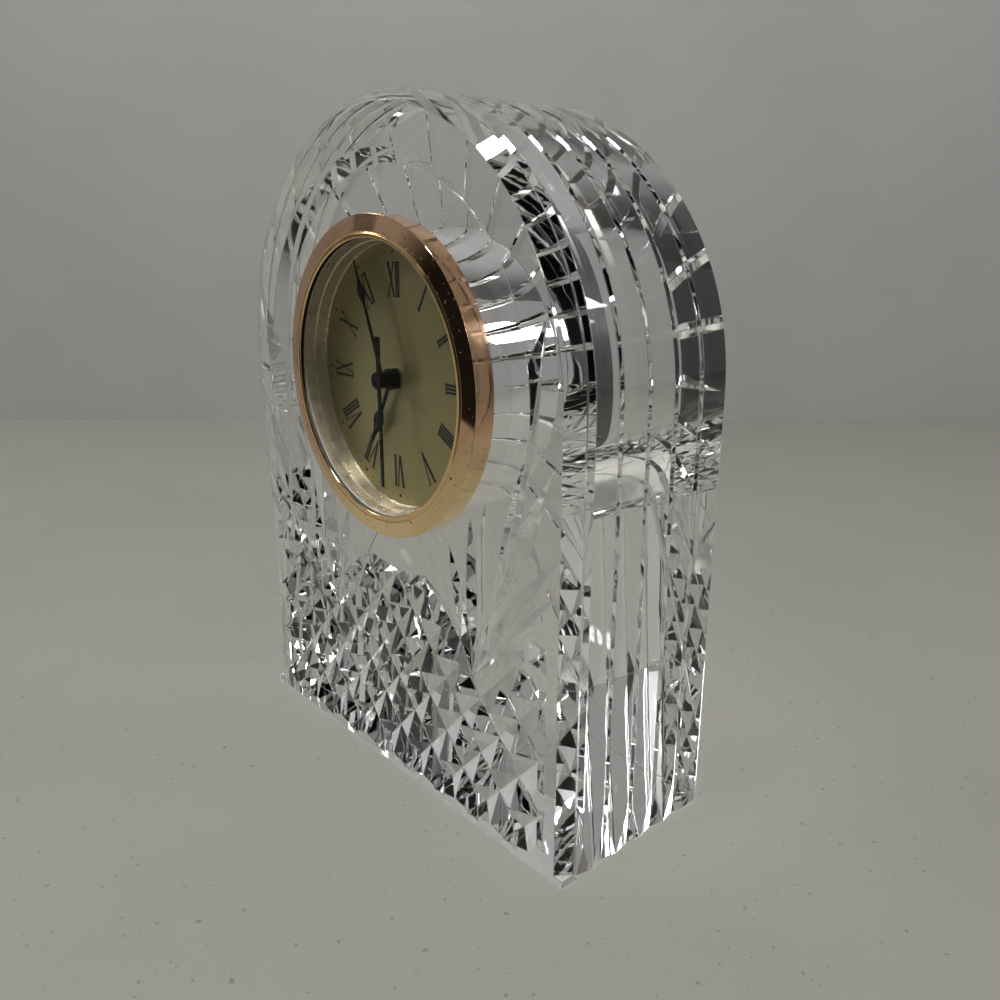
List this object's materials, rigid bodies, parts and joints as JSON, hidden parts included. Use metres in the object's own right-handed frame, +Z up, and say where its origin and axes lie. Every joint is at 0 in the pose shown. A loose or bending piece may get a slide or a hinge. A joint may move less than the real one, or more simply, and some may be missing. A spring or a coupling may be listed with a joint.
{
  "type": "crystal desk clock",
  "caption": "Arched cut-crystal desk clock with a push-in quartz insert: rose-gold bezel, champagne Roman dial, black spade hands.",
  "frame": {"origin": "centre of the flat base", "axes": "+Z up, the dial faces -Y, +X to the right seen from the front"},
  "size_m": [0.0826, 0.0338, 0.109],
  "materials": {
    "crystal": "polished",
    "rose_gold": "worn",
    "lens_glass": "polished",
    "black_rubber": "matte",
    "champagne": "satin",
    "black_ink": "satin",
    "black_hands": "satin",
    "nickel": "satin",
    "dark_plastic": "matte",
    "clear_rubber": "matte",
    "brass": "satin",
    "magnet": "matte",
    "steel": "satin",
    "soft_iron": "satin",
    "copper": "enamelled",
    "board_green": "matte",
    "spring_brass": "satin"
  },
  "bodies": {
    "root": {"crystal_block": "crystal"},
    "insert": {"bezel": "rose_gold", "lens": "lens_glass", "lens_gasket": "black_rubber", "reflector_ring": "champagne", "dial": "champagne", "dial_numerals": "black_ink", "dial_dots": "black_ink", "centre_nut": "nickel", "case_cup": "dark_plastic", "grip_ring": "clear_rubber", "main_plate": "brass", "train_bridge": "brass", "stator": "soft_iron", "coil_core": "soft_iron", "coil_bobbin": "dark_plastic", "coil_winding": "copper", "circuit_board": "board_green", "quartz_can": "nickel", "ic_chip": "dark_plastic", "battery": "nickel", "positive_contact": "spring_brass", "negative_contact": "spring_brass", "bridge_screws": "steel", "plate_screws": "steel"},
    "seconds": {"second_hand": "black_hands", "fourth_wheel": "brass"},
    "minutes": {"minute_hand": "black_hands", "cannon_pinion": "steel", "centre_wheel": "brass"},
    "hours": {"hour_hand": "black_hands", "hour_wheel": "brass"},
    "third": {"third_wheel": "brass"},
    "motion": {"minute_wheel": "brass"},
    "setting": {"setting_stem": "steel", "setting_knob": "dark_plastic"},
    "intermediate": {"intermediate_wheel": "brass"},
    "rotor": {"rotor_magnet": "magnet", "rotor_pinion": "steel"},
    "cover": {"battery_cover": "dark_plastic"}
  },
  "joints": [
    {"name": "insert_slide", "type": "slide", "parent": "root", "child": "insert", "axis": [0, -1, 0], "range_m": [0, 0.025]},
    {"name": "seconds_turn", "type": "hinge", "parent": "insert", "child": "seconds", "pos_m": [0, -0.008, 0.06775], "axis": [0, 1, 0], "continuous": true},
    {"name": "minutes_turn", "type": "hinge", "parent": "insert", "child": "minutes", "pos_m": [0, -0.008, 0.06775], "axis": [0, 1, 0], "continuous": true},
    {"name": "hours_turn", "type": "hinge", "parent": "insert", "child": "hours", "pos_m": [0, -0.008, 0.06775], "axis": [0, 1, 0], "continuous": true},
    {"name": "third_turn", "type": "hinge", "parent": "insert", "child": "third", "pos_m": [-0.00407, -0.008, 0.06368], "axis": [0, 1, 0], "continuous": true},
    {"name": "motion_turn", "type": "hinge", "parent": "insert", "child": "motion", "pos_m": [0, -0.008, 0.06295], "axis": [0, 1, 0], "continuous": true},
    {"name": "setting_turn", "type": "hinge", "parent": "insert", "child": "setting", "pos_m": [0, -0.008, 0.05815], "axis": [0, 1, 0], "continuous": true},
    {"name": "intermediate_turn", "type": "hinge", "parent": "insert", "child": "intermediate", "pos_m": [0.00421, -0.008, 0.07196], "axis": [0, 1, 0], "continuous": true},
    {"name": "rotor_turn", "type": "hinge", "parent": "insert", "child": "rotor", "pos_m": [0.00709, -0.008, 0.07484], "axis": [0, 1, 0], "continuous": true},
    {"name": "cover_slide", "type": "slide", "parent": "insert", "child": "cover", "axis": [0, 1, 0], "range_m": [0, 0.012]}
  ],
  "couplings": [
    {"joint": "third_turn", "follows": "seconds_turn", "ratio": -0.13333},
    {"joint": "minutes_turn", "follows": "seconds_turn", "ratio": 0.016667},
    {"joint": "motion_turn", "follows": "seconds_turn", "ratio": -0.0055556},
    {"joint": "hours_turn", "follows": "seconds_turn", "ratio": 0.0013889},
    {"joint": "setting_turn", "follows": "seconds_turn", "ratio": 0.016667},
    {"joint": "intermediate_turn", "follows": "seconds_turn", "ratio": -6},
    {"joint": "rotor_turn", "follows": "seconds_turn", "ratio": 30}
  ]
}
